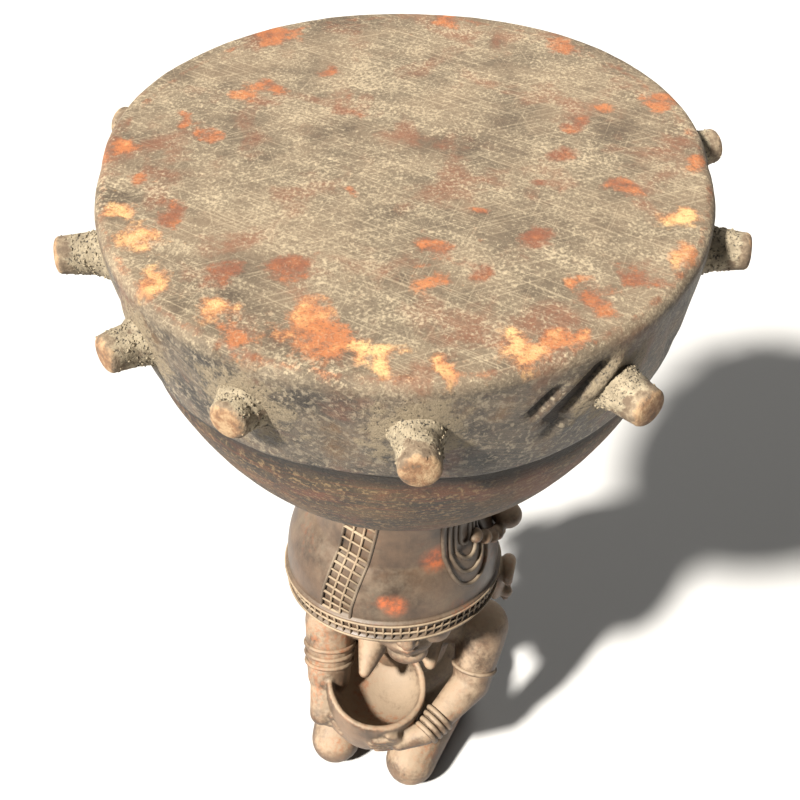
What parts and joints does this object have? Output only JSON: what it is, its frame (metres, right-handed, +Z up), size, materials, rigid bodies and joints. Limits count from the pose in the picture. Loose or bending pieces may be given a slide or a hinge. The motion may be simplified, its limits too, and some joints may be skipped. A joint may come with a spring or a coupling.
{
  "type": "ceremonial ritual drum",
  "caption": "Hide-topped wooden bowl drum with round pegs round its rim, carried on the head of a kneeling carved woman who holds a small bowl in her lap",
  "frame": {"origin": "on the ground under the middle of the object's box", "axes": "+Z up through the bowl and the figure, the drum's round axis 3 mm from it; the woman faces -Y and her left side is +X"},
  "size_m": [0.518, 0.5306, 0.902],
  "materials": {
    "carved_wood": "dark worn patina, handled smooth, pale dust in the carving",
    "drum_hide": "dry rawhide, worn and dusty",
    "peg_wood": "rough and crusted, worn pale at the ends"
  },
  "bodies": {
    "root": {"carved_body": "carved_wood", "held_bowl": "carved_wood", "hide_drumhead": "drum_hide", "peg_01": "peg_wood", "peg_02": "peg_wood", "peg_03": "peg_wood", "peg_04": "peg_wood", "peg_05": "peg_wood", "peg_06": "peg_wood", "peg_07": "peg_wood", "peg_08": "peg_wood", "peg_09": "peg_wood", "peg_10": "peg_wood", "peg_11": "peg_wood"}
  },
  "joints": []
}
